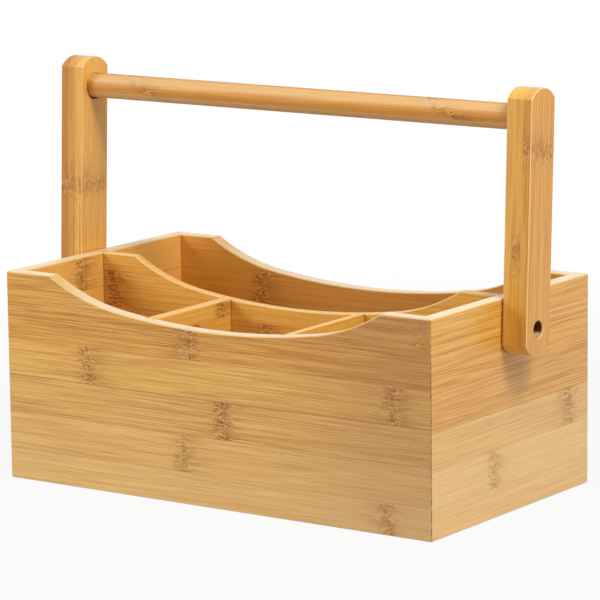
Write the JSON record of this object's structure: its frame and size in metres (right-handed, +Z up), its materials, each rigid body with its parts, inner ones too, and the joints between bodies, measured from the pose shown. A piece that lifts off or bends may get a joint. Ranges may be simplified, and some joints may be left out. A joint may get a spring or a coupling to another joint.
{
  "type": "utensil caddy",
  "caption": "Open wooden utensil caddy with mitred corners, a scooped front and back, inner dividers and a swinging handle with a round bar between two posts.",
  "frame": {"origin": "on the table under the middle of the box, at the bottom centre of the bounding box", "axes": "+X along the box to its right end, +Y to the back, +Z up; the side with the short compartments is the front, -Y"},
  "size_m": [0.3342, 0.171, 0.2446],
  "materials": {
    "bamboo_board": "clear satin lacquer on strip bamboo, grain along the board",
    "bamboo_panel": "clear satin lacquer on strip bamboo, grain along the box",
    "bamboo_divider": "clear satin lacquer on thin strip bamboo",
    "bamboo_post": "clear satin lacquer, grain along the post",
    "bamboo_bar": "clear satin lacquer on a turned bar",
    "screw_steel": "dark zinc-plated steel",
    "spacer_plastic": "dark brown nylon"
  },
  "bodies": {
    "box": {"front_board": "bamboo_board", "back_board": "bamboo_board", "left_end_board": "bamboo_board", "right_end_board": "bamboo_board", "floor_panel": "bamboo_panel", "long_divider": "bamboo_divider", "left_cross_divider": "bamboo_divider", "right_cross_divider": "bamboo_divider", "left_pivot_screw": "screw_steel", "right_pivot_screw": "screw_steel", "left_spacer_washer": "spacer_plastic", "right_spacer_washer": "spacer_plastic"},
    "handle": {"left_post": "bamboo_post", "right_post": "bamboo_post", "handle_bar": "bamboo_bar"}
  },
  "joints": [
    {"name": "handle_swing", "type": "hinge", "parent": "box", "child": "handle", "pos_m": [0, 0, 0.1079], "axis": [1, 0, 0], "range_deg": [-125.5, 130.5]}
  ]
}
